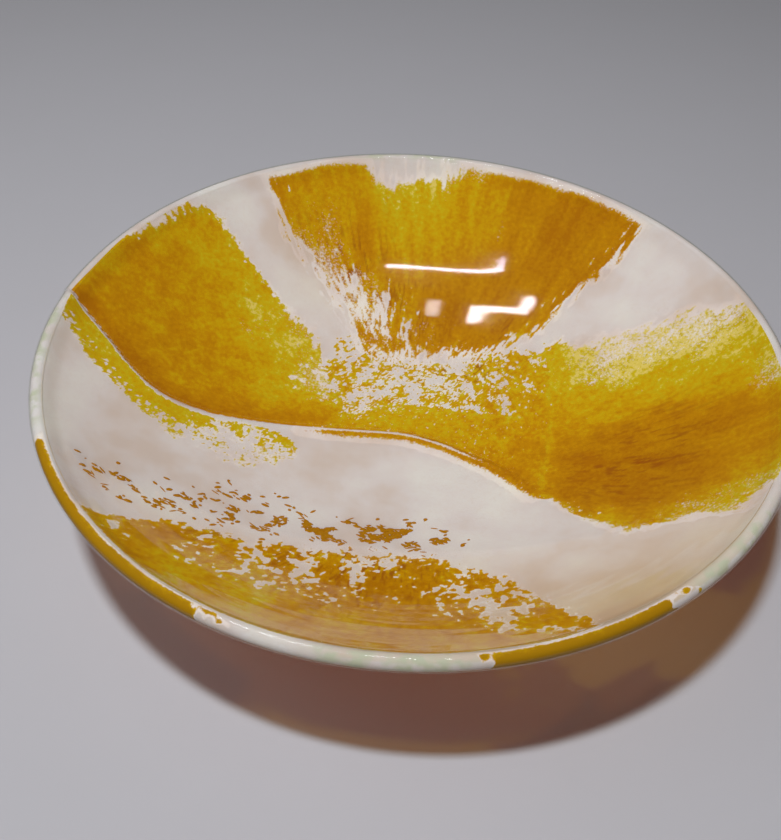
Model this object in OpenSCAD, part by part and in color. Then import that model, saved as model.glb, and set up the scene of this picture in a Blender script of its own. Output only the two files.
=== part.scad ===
// Cased art glass bowl: a clear gather, an opal core, frit pickups on both
// faces of the opal, and a clear lining, spun open to a wide shallow bowl.
// +Z is up, +Y is the back. The origin is the middle of the ground flat.

/* [Bowl] */
// Diameter over the lip
bowl_d = 380; // [300:5:460]
// Height from the table to the top of the lip
bowl_h = 88; // [70:1:105]
// Diameter of the ground flat that the bowl rests on
foot_d = 104; // [80:1:130]
// Glass over the table at the middle of the base
base_t = 10; // [9:0.5:16]

/* [Glass layers] */
// Clear lining on the inside
lining_t = 2; // [1.4:0.1:3]
// Opal core
opal_t = 3; // [2.4:0.1:4]
// Clear outer gather at the lip
gather_t = 3; // [2:0.1:5]
// Frit pickups, set flush into either face of the opal
frit_t = 1; // [0.6:0.1:1.1]
// How far the opal's rounded edge starts before the lip's
clear_edge = 1; // [0.5:0.5:6]

/* [Fold] */
// Width of the S-shaped fold across the inside
fold_w = 7; // [4:0.5:12]
// How far the fold stands up from the lining
fold_h = 2.5; // [1:0.25:4]
// Opal left showing between the fold and the frit beside it
fold_gap = 1.5; // [0.5:0.5:4]

/* [Pontil and flecks] */
// Diameter of the polished pontil hollow
pontil_d = 28; // [18:1:40]
// Depth of the polished pontil hollow
pontil_deep = 1; // [0.5:0.1:1.2]
// Diameter of the largest loose frit flecks
fleck_d = 7; // [4:0.5:9]
// Loose flecks in each cluster
fleck_count = 9; // [4:1:14]

/* [Hidden] */
$fn = 180;

// The wall is curved about one centre, curve_z above the table.
wall_t = lining_t + opal_t + gather_t;
lip_r = wall_t / 2;
rim_r = bowl_d / 2;
lip_reach = rim_r - lip_r;
lip_rise = bowl_h - base_t;
mid_r = (pow(lip_reach, 2) + pow(lip_rise, 2)) / (2 * lip_rise);
curve_z = base_t - lip_r + mid_r;
lip_angle = asin(lip_reach / mid_r);

// Radii of the faces between the layers, from the inside out
inside_r = mid_r - lip_r;
opal_in_r = inside_r + lining_t;
opal_out_r = opal_in_r + opal_t;
opal_mid_r = opal_in_r + opal_t / 2;
opal_angle = lip_angle - clear_edge / mid_r * 180 / PI;

// The outside runs from the foot to the lip on a slightly smaller sphere,
// which leaves more glass in the base than in the wall.
lip_out_x = (mid_r + lip_r) * sin(lip_angle);
lip_out_z = curve_z - (mid_r + lip_r) * cos(lip_angle);
foot_r = foot_d / 2;
belly_z = (pow(lip_out_x, 2) + pow(lip_out_z, 2) - pow(foot_r, 2)) / (2 * lip_out_z);
belly_r = norm([foot_r, belly_z]);
pontil_r = (pow(pontil_d / 2, 2) + pow(pontil_deep, 2)) / (2 * pontil_deep);

// Plan places are [x, y] as fractions of the lip's radius.
past_lip = 1.12;
curve_steps = 5;
lip_step = 3;
gap = (fold_w / 2 + fold_gap) / rim_r;

// The fold runs from the left of the lip, close behind the middle of the base,
// and dies away to the front right.
fold_line = [[-0.945, 0.13], [-0.865, 0.07], [-0.80, 0.01], [-0.72, -0.035], [-0.60, -0.04],
             [-0.45, -0.01], [-0.24, 0.03], [-0.04, 0.045], [0.08, 0.015], [0.17, -0.035],
             [0.26, -0.10], [0.36, -0.21]];
// The stretch of the fold that the left-hand frit runs along
fold_left = [for (i = [0:5]) fold_line[i]];
// The stretch that the middle frit runs along, which slants, so its gap is partly sideways
fold_middle = [for (i = [6:11]) fold_line[i]];
gap_aside = gap / 3;
// Width of the fold at its far end, as a share of its width at the lip
fold_taper = 0.5;

back_edge = [[-0.60, 0.95], [-0.25, 1.10], [0.25, 1.10], [0.78, 0.80], [0.71, 0.62],
             [0.62, 0.56], [0.52, 0.51], [0.42, 0.45], [0.28, 0.41], [0.12, 0.40],
             [-0.05, 0.41], [-0.18, 0.45], [-0.26, 0.53], [-0.38, 0.66], [-0.49, 0.77]];
left_edge = concat(
    [for (p = fold_left) [p.x, p.y + gap]],
    [[-0.31, 0.08], [-0.27, 0.18], [-0.275, 0.31], [-0.33, 0.42], [-0.44, 0.51], [-0.55, 0.57],
     [-0.67, 0.60], [-0.86, 0.72], [-1.02, 0.46], [-1.10, 0.16]]);
middle_edge = concat(
    [for (p = fold_middle) [p.x + gap_aside, p.y + gap]],
    [[0.42, -0.16], [0.43, 0.0], [0.44, 0.18], [0.37, 0.35], [0.24, 0.36], [0.08, 0.35],
     [-0.10, 0.36], [-0.21, 0.33], [-0.22, 0.19]]);
right_edge = [[0.42, 0.36], [0.58, 0.38], [0.79, 0.33], [0.95, 0.27], [1.10, 0.22], [1.12, -0.15],
              [0.98, -0.50], [0.86, -0.47], [0.77, -0.51], [0.68, -0.46], [0.57, -0.47],
              [0.49, -0.42], [0.45, -0.30], [0.46, -0.14], [0.48, 0.02], [0.48, 0.19]];
front_edge = [[-0.74, -0.62], [-0.61, -0.52], [-0.45, -0.46], [-0.27, -0.47], [-0.07, -0.44],
              [0.11, -0.48], [0.27, -0.58], [0.34, -0.74], [0.36, -0.96], [0.10, -1.10],
              [-0.32, -1.08], [-0.66, -0.92]];
fringe_edge = concat(
    [for (p = fold_left) [p.x, p.y - gap]],
    [[-0.36, -0.05], [-0.33, -0.10], [-0.43, -0.19], [-0.55, -0.20], [-0.66, -0.16],
     [-0.77, -0.12], [-0.87, -0.05], [-0.95, 0.02]]);
inner_edges = [back_edge, left_edge, middle_edge, right_edge, front_edge, fringe_edge];

// Each outer pickup is [first azimuth, last azimuth] on the lip, anticlockwise from +X.
lip_left_span = [204, 243];
lip_front_span = [279, 306];
lip_pickup_from = 0.86;

// Each cluster of loose flecks is [azimuth, reach, spread], the last two as fractions
// of the lip's radius.
fleck_clusters = [[222, 0.52, 0.075], [258, 0.33, 0.070], [212, 0.80, 0.055]];
golden_turn = 137.5;
// Smallest fleck in a cluster, as a share of the largest
fleck_small = 0.5;
fleck_step = (1 - fleck_small) / fleck_count;

// Sides that small round shapes are shown with
rod_sides = 24;
edge_sides = 48;

// Point at t between b and c on the smooth curve through a, b, c and d
function on_curve(a, b, c, d, t) =
    (2 * b + (c - a) * t
     + (2 * a - 5 * b + 4 * c - d) * pow(t, 2)
     + (3 * b - a - 3 * c + d) * pow(t, 3)) / 2;

// Closed outline in mm through plan places
function outline(p) =
    let (n = len(p))
    [for (i = [0:n - 1], k = [0:curve_steps - 1])
        rim_r * on_curve(p[(i + n - 1) % n], p[i], p[(i + 1) % n], p[(i + 2) % n],
                         k / curve_steps)];

// Open run in mm through plan places
function run(p) =
    let (n = len(p))
    [for (i = [0:n - 2], k = [0:curve_steps - 1])
        rim_r * on_curve(p[max(i - 1, 0)], p[i], p[i + 1], p[min(i + 2, n - 1)],
                         k / curve_steps)];

// One side of a ribbon that follows a run and narrows towards its end
function ribbon_side(p, w, side) =
    let (n = len(p))
    [for (i = [0:n - 1])
        let (along = p[min(i + 1, n - 1)] - p[max(i - 1, 0)],
             half_w = w / 2 * (1 - (1 - fold_taper) * i / (n - 1)))
        p[i] + side * half_w * [-along.y, along.x] / norm(along)];

function backwards(p) = [for (i = [len(p) - 1:-1:0]) p[i]];

function ribbon(p, w) = concat(ribbon_side(p, w, 1), backwards(ribbon_side(p, w, -1)));

// Plan outline of a stretch of the lip
function lip_stretch(span) = concat(
    [for (a = [span[0]:lip_step:span[1]]) rim_r * past_lip * [cos(a), sin(a)]],
    [for (a = [span[1]:-lip_step:span[0]]) rim_r * lip_pickup_from * [cos(a), sin(a)]]);

// A ball about the centre that the wall is curved about
module ball(r) {
    translate([0, 0, curve_z]) sphere(r);
}

// Everything below the cone that spreads from the centre at this angle
module below_cone(angle) {
    far = 2 * mid_r;
    translate([0, 0, curve_z])
        rotate_extrude()
            polygon([[0, 0], [far * sin(angle), -far * cos(angle)],
                     [far * sin(angle), -far], [0, -far]]);
}

module layer(r_in, r_out, angle) {
    intersection() {
        difference() {
            ball(r_out);
            ball(r_in);
        }
        below_cone(angle);
    }
}

// A column of everything over a plan outline
module over(plan) {
    linear_extrude(bowl_h) polygon(plan);
}

// Room for frit in the inner face of the opal, under the column that it is given
module inner_room() {
    intersection() {
        ball(opal_in_r + frit_t);
        below_cone(opal_angle);
        children();
    }
}

// Room for frit in the outer face of the opal
module outer_room() {
    difference() {
        intersection() {
            below_cone(opal_angle);
            children();
        }
        ball(opal_out_r - frit_t);
    }
}

// Frit that fills its room flush with the inner face
module inner_pickup() {
    difference() {
        inner_room() children();
        ball(opal_in_r);
    }
}

// Frit that fills its room flush with the outer face
module outer_pickup() {
    intersection() {
        outer_room() children();
        ball(opal_out_r);
    }
}

// Rods through the wall, one where each loose fleck lies
module fleck_rods() {
    for (c = fleck_clusters, k = [0:fleck_count - 1]) {
        place = rim_r * (c[1] * [cos(c[0]), sin(c[0])]
                         + c[2] * sqrt(k / fleck_count)
                           * [cos(k * golden_turn), sin(k * golden_turn)]);
        d = fleck_d * (1 - k * fleck_step);
        translate([place.x, place.y, 0]) cylinder(h = bowl_h, d = d, $fn = rod_sides);
    }
}

// Half-round edge that a layer of this mid radius and thickness ends in
module round_edge(r_mid, thick, angle) {
    difference() {
        translate([0, 0, curve_z - r_mid * cos(angle)])
            rotate_extrude() translate([r_mid * sin(angle), 0]) circle(d = thick, $fn = edge_sides);
        below_cone(angle);
    }
}

module outer_gather() {
    color("honeydew", 0.45)
        difference() {
            union() {
                intersection() {
                    translate([0, 0, belly_z]) sphere(belly_r);
                    below_cone(lip_angle);
                    translate([0, 0, bowl_h / 2]) cube([bowl_d, bowl_d, bowl_h], center = true);
                }
                round_edge(mid_r, wall_t, lip_angle);
            }
            intersection() {
                ball(opal_in_r);
                below_cone(lip_angle);
            }
            intersection() {
                ball(opal_out_r);
                below_cone(opal_angle);
            }
            round_edge(opal_mid_r, opal_t, opal_angle);
            translate([0, 0, pontil_deep - pontil_r]) sphere(pontil_r);
        }
}

module opal_core() {
    color("mistyrose")
        difference() {
            union() {
                layer(opal_in_r, opal_out_r, opal_angle);
                round_edge(opal_mid_r, opal_t, opal_angle);
            }
            for (edge = inner_edges) inner_room() over(outline(edge));
            inner_room() fleck_rods();
            for (span = [lip_left_span, lip_front_span]) outer_room() over(lip_stretch(span));
        }
}

module clear_lining() {
    color("honeydew", 0.35) {
        layer(inside_r, opal_in_r, lip_angle);
        intersection() {
            layer(inside_r - fold_h, inside_r, lip_angle);
            over(ribbon(run(fold_line), fold_w));
        }
    }
}

module amber_back() {
    color("darkgoldenrod") inner_pickup() over(outline(back_edge));
}

module amber_left() {
    color("darkgoldenrod") inner_pickup() over(outline(left_edge));
}

module amber_middle() {
    color("goldenrod") inner_pickup() over(outline(middle_edge));
}

module amber_right() {
    color("darkgoldenrod") inner_pickup() over(outline(right_edge));
}

module amber_front() {
    color("goldenrod") inner_pickup() over(outline(front_edge));
}

module yellow_fringe() {
    color("gold") inner_pickup() over(outline(fringe_edge));
}

module amber_flecks() {
    color("peru") inner_pickup() fleck_rods();
}

module amber_lip_left() {
    color("goldenrod") outer_pickup() over(lip_stretch(lip_left_span));
}

module amber_lip_front() {
    color("goldenrod") outer_pickup() over(lip_stretch(lip_front_span));
}

outer_gather();
opal_core();
clear_lining();
amber_back();
amber_left();
amber_middle();
amber_right();
amber_front();
yellow_fringe();
amber_flecks();
amber_lip_left();
amber_lip_front();
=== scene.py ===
import math
from functools import partial

import bpy
import numpy as np
from mathutils import Matrix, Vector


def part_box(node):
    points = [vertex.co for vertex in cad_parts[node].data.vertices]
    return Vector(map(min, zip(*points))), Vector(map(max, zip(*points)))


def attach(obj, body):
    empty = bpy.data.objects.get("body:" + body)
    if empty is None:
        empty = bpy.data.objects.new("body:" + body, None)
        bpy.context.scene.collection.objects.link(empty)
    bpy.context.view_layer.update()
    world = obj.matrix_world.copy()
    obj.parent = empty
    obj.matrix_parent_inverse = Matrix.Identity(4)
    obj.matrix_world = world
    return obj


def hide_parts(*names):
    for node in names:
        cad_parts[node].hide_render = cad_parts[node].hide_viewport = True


bl_info = {
    "name": "Cased art glass bowl",
    "version": (1, 0, 0),
    "blender": (4, 5, 0),
    "location": "View3D > Sidebar > Glass bowl",
    "description": "Makes the glass layers and frit of a wide blown bowl over its packed frame",
    "category": "Add Mesh",
}

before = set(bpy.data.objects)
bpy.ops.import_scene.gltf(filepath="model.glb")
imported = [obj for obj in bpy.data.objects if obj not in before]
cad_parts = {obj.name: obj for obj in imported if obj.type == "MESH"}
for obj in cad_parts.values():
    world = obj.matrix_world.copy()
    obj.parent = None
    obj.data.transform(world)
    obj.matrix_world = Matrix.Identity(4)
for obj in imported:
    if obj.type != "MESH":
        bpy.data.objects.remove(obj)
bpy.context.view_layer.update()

MM = 0.001
SECTORS = 480  # sides of each glass layer round its axis
FUSED_GAP = 0.3 * MM  # how far a fused face stands off the opal, so that the two never cross
RIM_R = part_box("outer_gather")[1].x
RIM_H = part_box("outer_gather")[1].z
INNER_FRIT = ("amber_back", "amber_left", "amber_middle", "amber_right", "amber_front",
              "yellow_fringe")


# ---------------------------------------------------------------- settings

def size(name, description, default, **limits):
    return bpy.props.FloatProperty(name=name, description=description, default=default,
                                   subtype="DISTANCE", unit="LENGTH", precision=5, **limits)


def shade(name, description, default):
    return bpy.props.StringProperty(name=name, description=description + ", sRGB hex",
                                    default=default)


class BowlWall(bpy.types.PropertyGroup):
    """Thicknesses of the glass layers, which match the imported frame"""

    base: size("Base", "Glass over the table at the middle of the base", 10 * MM)
    wall: size("Wall", "All the layers together at the lip", 8 * MM)
    lining: size("Lining", "Clear glass over the colours", 2 * MM)
    opal: size("Opal", "Opal white glass between the clear layers", 3 * MM)
    foot: size("Foot", "Diameter of the ground flat", 104 * MM)
    pontil: size("Pontil", "Diameter of the polished hollow in the flat", 28 * MM)
    pontil_deep: size("Pontil depth", "Depth of the polished hollow", 1 * MM)
    lip_skin: size("Lip skin", "Clear glass over the opal where it swells into the lip", 0.7 * MM)
    lip_run: size("Lip run", "Stretch below the lip over which the opal swells", 11 * MM)
    sway: size("Sway", "How far the lip wanders in from a true circle", 1.6 * MM)
    sag: size("Sag", "How far the lip dips below its highest point", 1.2 * MM)
    soft_ripple: size("Soft ripple", "Height of the widest waves in the lining", 0.038 * MM)
    back_ripple: size("Back ripple", "Height of the rings in the lining at the back", 0.032 * MM)
    front_ripple: size("Front ripple", "Height of the rings in the lining at the front", 0.03 * MM)


class BowlFold(bpy.types.PropertyGroup):
    """The S-shaped fold across the inside"""

    height: size("Height", "Step from behind the fold up to its crest", 3.4 * MM)
    face: size("Face", "Width of the steep face behind the crest", 4.0 * MM)
    ease: size("Ease", "Distance over which the crest dies away in front", 20 * MM)


class BowlFrit(bpy.types.PropertyGroup):
    """The melted frit and its colours"""

    grid: size("Grid", "Mesh spacing that the grains are cut from", 0.9 * MM)
    thick: size("Thickness", "How deep the frit sits in the opal", 0.8 * MM)
    proud: size("Proud", "How far the middle of a grain stands over the opal", 0.08 * MM)
    full: size("Full depth", "Distance from a grain's edge at which its colour is full", 7 * MM)
    fleck: size("Fleck", "Size of the loose flecks", 1.2 * MM)
    film: shade("Film", "A film of colour over the opal", "EAD976")
    thin: shade("Thin", "Frit thin enough for the opal to show through", "D6C41C")
    yellow: shade("Yellow", "Light amber", "D8B104")
    amber: shade("Amber", "Full amber", "D09701")
    deep: shade("Deep", "Thickest amber", "BE7C00")
    burnt: shade("Burnt", "Brown-red streaks in the amber", "A3560E")
    in_lip: shade("In the lip", "Amber seen through the thick glass of the lip", "B88A08")


class BowlGlass(bpy.types.PropertyGroup):
    """Colours of the opal and the clear glass"""

    opal: shade("Opal", "Opal white glass", "F0E9F1")
    opal_pink: shade("Opal pink", "Thinner opal that shows pink", "E8DADA")
    opal_milk: shade("Opal milk", "Thickest, whitest opal", "F6F4FA")
    stain: shade("Stain", "Opal with a film of amber run into it", "D2AA4C")
    lip_clear: shade("Lip clear", "Bare glass with a milky green cast in the lip", "D6D9C6")
    clear: shade("Clear", "Tint of the clear glass", "FAFCF6")


GROUPS = (("bowl_wall", BowlWall), ("bowl_fold", BowlFold), ("bowl_frit", BowlFrit),
          ("bowl_glass", BowlGlass))


def settings():
    """The four groups of settings, and the curve of the wall that follows from them."""
    scene = bpy.context.scene
    return (scene.bowl_wall, scene.bowl_fold, scene.bowl_frit, scene.bowl_glass,
            Curve(scene.bowl_wall))


def linear(hexcode):
    """An sRGB hex colour as a linear RGBA."""
    parts = [int(hexcode[i:i + 2], 16) / 255 for i in (0, 2, 4)]
    return [c / 12.92 if c <= 0.04045 else ((c + 0.055) / 1.055) ** 2.4 for c in parts] + [1.0]


# ---------------------------------------------------------------- shape of the wall

class Curve:
    """The curve that the wall is bent to: a sphere about a centre over the table."""

    def __init__(self, wall):
        self.bead = wall.wall / 2
        reach = RIM_R - self.bead
        rise = RIM_H - wall.base
        self.mid = (reach ** 2 + rise ** 2) / (2 * rise)
        self.centre = wall.base - self.bead + self.mid
        self.lip = math.asin(reach / self.mid)
        self.inside = self.mid - self.bead
        self.opal_in = self.inside + wall.lining
        self.opal_out = self.opal_in + wall.opal
        self.swell = wall.lip_run / self.mid

    def point(self, radius, angle):
        return np.array([radius * np.sin(angle), self.centre - radius * np.cos(angle)])


def smooth(t):
    t = np.clip(t, 0, 1)
    return t * t * (3 - 2 * t)


def arc(curve, radius_from, radius_to, angle_from, angle_to, steps):
    """A run of the section, with its radius easing from one to the other."""
    t = np.linspace(0, 1, steps + 1)
    radius = radius_from + (radius_to - radius_from) * smooth(t)
    return curve.point(radius, angle_from + (angle_to - angle_from) * t).T


def round_end(curve, radius, thick, angle, steps):
    """Half-round end of a layer, from its inner face over to its outer one."""
    turn = np.linspace(0, math.pi, steps + 1)[:, None]
    middle = curve.point(radius, angle)
    inward = -np.array([math.sin(angle), -math.cos(angle)])
    upward = np.array([math.cos(angle), math.sin(angle)])
    return middle + thick / 2 * (np.cos(turn) * inward + np.sin(turn) * upward)


def joined(*runs):
    """Runs of a section end to end, with the points that they share kept once."""
    points = [runs[0]]
    for run in runs[1:]:
        points.append(run[1:] if np.linalg.norm(run[0] - points[-1][-1]) < 1e-7 else run)
    return np.concatenate(points)


# Steps of the opal's section up its inner face, enough to carry the fold's steep face, then
# into the swell, round the end, out of the swell and down the outer face
INNER_STEPS = 146
OPAL_STEPS = (INNER_STEPS, 10, 12, 8, 24)


def opal_section(curve, wall):
    """The opal from the middle of its inner face, round the lip, to the middle of its outer face."""
    bare = wall.lip_skin
    inner, outer = curve.inside + bare, curve.mid + curve.bead - bare
    swells = curve.lip - curve.swell
    return joined(
        arc(curve, curve.opal_in, curve.opal_in, 0, swells, OPAL_STEPS[0]),
        arc(curve, curve.opal_in, inner, swells, curve.lip, OPAL_STEPS[1]),
        round_end(curve, curve.mid, outer - inner, curve.lip, OPAL_STEPS[2]),
        arc(curve, outer, curve.opal_out, curve.lip, swells, OPAL_STEPS[3]),
        arc(curve, curve.opal_out, curve.opal_out, swells, 0, OPAL_STEPS[4]))


# ---------------------------------------------------------------- fold and sway

# The fold in plan, in parts of the lip's radius, from past the lip at the left
FOLD_LINE = ((-1.12, 0.21), (-1.02, 0.165), (-0.945, 0.13), (-0.865, 0.07), (-0.80, 0.01),
             (-0.72, -0.035), (-0.60, -0.04), (-0.45, -0.01), (-0.24, 0.03), (-0.04, 0.045),
             (0.08, 0.015), (0.17, -0.035), (0.26, -0.10), (0.36, -0.21), (0.43, -0.29))

# Parts of the fold's length over which it grows from nothing, and of the lip's radius where the
# whole wall starts to follow it, and over which it comes to do so
FOLD_GROWS = 0.42
INTO_LIP, LIP_EASE = 0.72, 0.25


def spline(points, steps, closed):
    """A smooth curve through plan points, which may carry further values."""
    p = np.array(points, float)
    if closed:
        p = np.concatenate([p[-1:], p, p[:2]])
    else:
        p = np.concatenate([p[:1], p, p[-1:]])
    a, b, c, d = p[:-3], p[1:-2], p[2:-1], p[3:]
    t = (np.arange(steps) / steps)[None, :, None]
    a, b, c, d = (q[:, None, :] for q in (a, b, c, d))
    run = (2 * b + (c - a) * t + (2 * a - 5 * b + 4 * c - d) * t ** 2
           + (3 * b - a - 3 * c + d) * t ** 3) / 2
    run = run.reshape(-1, p.shape[1])
    return run if closed else np.concatenate([run, p[-1:]])


def nearest(x, y, line, closed):
    """For each plan point: distance to a line, side of it (-1 or 1), share of the way along it,
    and the line's own values there."""
    start, stop = line, np.roll(line, -1, axis=0)
    if not closed:
        start, stop = start[:-1], stop[:-1]
    best = np.full(x.shape, np.inf)
    side = np.zeros_like(best)
    along = np.zeros_like(best)
    values = np.zeros(x.shape + (line.shape[1] - 2,))
    for i, (p, q) in enumerate(zip(start, stop)):
        dx, dy = q[0] - p[0], q[1] - p[1]
        t = np.clip(((x - p[0]) * dx + (y - p[1]) * dy) / max(dx * dx + dy * dy, 1e-12), 0, 1)
        gap = np.hypot(x - p[0] - t * dx, y - p[1] - t * dy)
        closer = gap < best
        best = np.where(closer, gap, best)
        side = np.where(closer, np.sign(dx * (y - p[1]) - dy * (x - p[0])), side)
        along = np.where(closer, (i + t) / len(start), along)
        for k in range(values.shape[-1]):
            values[..., k] = np.where(closer, p[2 + k] + t * (q[2 + k] - p[2 + k]), values[..., k])
    return best, side, along, values


def from_fold(x, y):
    """Distance of plan points from the fold's crest, more than zero in front of it, and share
    of the way along it."""
    gap, side, along, _ = nearest(x, y, spline(FOLD_LINE, 5, closed=False) * RIM_R, closed=False)
    return -gap * side, along


def into_lip(x, y):
    """From 0 over most of the bowl to 1 at the lip."""
    return smooth((np.hypot(x, y) / RIM_R - INTO_LIP) / LIP_EASE)


def fold_rise(x, y, fold):
    """How far the glass stands in from the wall's curve, in metres, at plan points."""
    front, along = from_fold(x, y)
    strength = smooth((1 - along) / FOLD_GROWS)
    raised = 1 - into_lip(x, y)
    step = smooth((front + fold.face) / fold.face)
    before = step * np.exp(-np.maximum(front, 0) / fold.ease)
    behind = (1 - step) * np.exp(np.minimum(front + fold.face, 0) / fold.ease)
    return fold.height * strength * (raised * before - (1 - raised) * behind)


def sway(x, y, wall):
    """Scale of the plan and dip of the height at plan points, for a lip that isn't quite true."""
    turn = np.arctan2(y, x)
    reach = smooth(np.hypot(x, y) / RIM_R)
    wander = 0.5 - 0.3 * np.cos(2 * turn - 1.82) - 0.2 * np.cos(3 * turn - 5.5)
    dip = 0.5 - 0.5 * np.cos(2 * turn + 0.7)
    return 1 - wall.sway / RIM_R * wander * reach, wall.sag * dip * reach ** 2


def shaped(points, wall, fold, curve, outside=False):
    """Points on the plain wall, moved as the fold and the sway of the lip move them. The outside
    of the wall follows the fold only where it runs out into the lip."""
    x, y, z = points.T
    rise = fold_rise(x, y, fold) * np.where(outside, into_lip(x, y), 1.0)
    from_centre = points - np.array([0, 0, curve.centre])
    inward = -from_centre / np.linalg.norm(from_centre, axis=1)[:, None]
    scale, dip = sway(x, y, wall)
    moved = points + inward * rise[:, None]
    moved[:, :2] *= scale[:, None]
    moved[:, 2] -= dip * smooth(z / RIM_H)
    return moved


# ---------------------------------------------------------------- noise

# Large numbers that scatter the lattice corners, and the top of the range that they give
HASH_U, HASH_V, HASH_SEED, HASH_MIX = 374761393, 668265263, 974711, 1274126177
HASH_TOP = 0x7FFFFFFF
# Noise of this kind stays well inside -1 to 1 by itself, so it is raised by this much
NOISE_RAISE = 1.55
# The radius, in parts of the lip's, where grains have the size that is asked for
GRAIN_REACH = 0.6
# Grains start to follow lines to the middle at the first of these parts of the lip's radius,
# and have come to do so over the second
PLAIN_MIDDLE, PLAIN_EASE = 0.05, 0.10
# Nearer to the middle than this, grains narrow no further
NARROWEST = 6 * MM


def lattice(iu, iv, seed):
    """A repeatable angle for each lattice corner."""
    h = iu.astype(np.int64) * HASH_U + iv.astype(np.int64) * HASH_V + seed * HASH_SEED
    h = h & HASH_TOP
    h = ((h ^ (h >> 13)) * HASH_MIX) & HASH_TOP
    return (h ^ (h >> 16)) / HASH_TOP * 2 * math.pi


def noise(u, v, seed, around=None):
    """Gradient noise from about -1 to 1. around is the number of cells after which v repeats."""
    iu, iv = np.floor(u), np.floor(v)
    fu, fv = u - iu, v - iv
    total = 0
    for du in (0, 1):
        for dv in (0, 1):
            corner_v = (iv + dv) % around if around else iv + dv
            angle = lattice(iu + du, corner_v, seed)
            slope = np.cos(angle) * (fu - du) + np.sin(angle) * (fv - dv)
            wu, wv = smooth(fu), smooth(fv)
            total = total + slope * (wu if du else 1 - wu) * (wv if dv else 1 - wv)
    return total * NOISE_RAISE


def grains(x, y, width, length, seed, drawn=1.0):
    """Noise in grains of this width across and length along the lines that run to the middle.
    They narrow towards the middle, as the glass was drawn when the bowl was spun open. drawn
    is how far they follow those lines, from 0 to 1."""
    reach = np.maximum(np.hypot(x, y), NARROWEST)
    turn = np.arctan2(y, x)
    mean = GRAIN_REACH * RIM_R
    around = int(round(2 * math.pi * mean / width))
    v = (turn / (2 * math.pi) + 0.5) * around
    u = np.log(reach / mean) * mean / length
    plain_size = math.sqrt(width * length)
    plain = noise(x / plain_size, y / plain_size, seed + 7)
    inward = drawn * smooth((np.hypot(x, y) - PLAIN_MIDDLE * RIM_R) / (PLAIN_EASE * RIM_R))
    return noise(u, v, seed, around) * inward + plain * (1 - inward)


# ---------------------------------------------------------------- meshes

def new_piece(name, points, faces, materials):
    """A mesh object at the origin. faces is one array or several of them, by corner count."""
    mesh = bpy.data.meshes.new(name)
    groups = faces if isinstance(faces, list) else [faces]
    loops = np.concatenate([g.ravel() for g in groups]).astype(np.int32)
    counts = np.concatenate([np.full(len(g), g.shape[1]) for g in groups])
    starts = (np.cumsum(counts) - counts).astype(np.int32)
    mesh.vertices.add(len(points))
    mesh.vertices.foreach_set("co", np.asarray(points, np.float32).ravel())
    mesh.loops.add(len(loops))
    mesh.loops.foreach_set("vertex_index", loops)
    mesh.polygons.add(len(counts))
    mesh.polygons.foreach_set("loop_start", starts)
    mesh.polygons.foreach_set("use_smooth", np.ones(len(counts), bool))
    mesh.update(calc_edges=True)
    for material in materials:
        mesh.materials.append(material)
    piece = bpy.data.objects.new(name, mesh)
    bpy.context.scene.collection.objects.link(piece)
    return piece


def give(piece, name, values):
    """Writes one number for each of a piece's points, for its material to read."""
    attribute = piece.data.attributes.new(name, "FLOAT", "POINT")
    attribute.data.foreach_set("value", np.asarray(values, np.float32))


def lathe(section, sectors):
    """Points and faces of a section turned about the Z axis. A section's ends are on the axis."""
    turn = np.arange(sectors) * 2 * math.pi / sectors
    rings = section[1:-1]
    points = np.stack([rings[:, None, 0] * np.cos(turn), rings[:, None, 0] * np.sin(turn),
                       np.repeat(rings[:, 1:2], sectors, axis=1)], axis=-1).reshape(-1, 3)
    ends = np.array([[0, 0, section[0, 1]], [0, 0, section[-1, 1]]])
    points = np.concatenate([points, ends])
    ring = np.arange(len(rings) - 1)[:, None] * sectors
    here = np.arange(sectors)[None, :]
    after = (here + 1) % sectors
    quads = np.stack([ring + here, ring + after, ring + sectors + after, ring + sectors + here],
                     axis=-1).reshape(-1, 4)
    first, last = len(points) - 2, len(points) - 1
    here, after = here[0], after[0]
    top = len(rings) * sectors - sectors
    fans = np.concatenate([
        np.stack([np.full(sectors, first), after, here], axis=1),
        np.stack([np.full(sectors, last), top + here, top + after], axis=1)])
    return points, [quads, fans]


def turned(section):
    """Points and faces of a section turned about the Z axis, with its faces pointing outwards."""
    points, groups = lathe(section, SECTORS)
    a, b, c, d = (points[groups[0][:, k]] for k in range(4))
    volume = np.einsum("ij,ij->", a, np.cross(b, c)) + np.einsum("ij,ij->", a, np.cross(c, d))
    return points, groups if volume > 0 else [g[:, ::-1] for g in groups]


def lay_materials(piece, by_ring):
    """Gives each ring of a turned layer's faces the material of this number. The fans at the
    section's ends take that of the ring beside them."""
    numbers = np.repeat(np.concatenate([by_ring, by_ring[:1], by_ring[-1:]]), SECTORS)
    piece.data.polygons.foreach_set("material_index", numbers.astype(np.int32))


# ---------------------------------------------------------------- materials

def add_node(tree, kind, values=(), links=(), **props):
    """Adds a node, sets its properties and sockets, and links (its input, from output) pairs."""
    node = tree.nodes.new(kind)
    for name, value in props.items():
        setattr(node, name, value)
    for name, value in dict(values).items():
        node.inputs[name].default_value = value
    for name, output in links:
        tree.links.new(output, node.inputs[name])
    return node


def new_material(name):
    material = bpy.data.materials.new(name)
    material.use_nodes = True
    material.node_tree.nodes.clear()
    return material, material.node_tree


def finish_material(tree, shader):
    add_node(tree, "ShaderNodeOutputMaterial", links=[("Surface", shader)])


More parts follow.
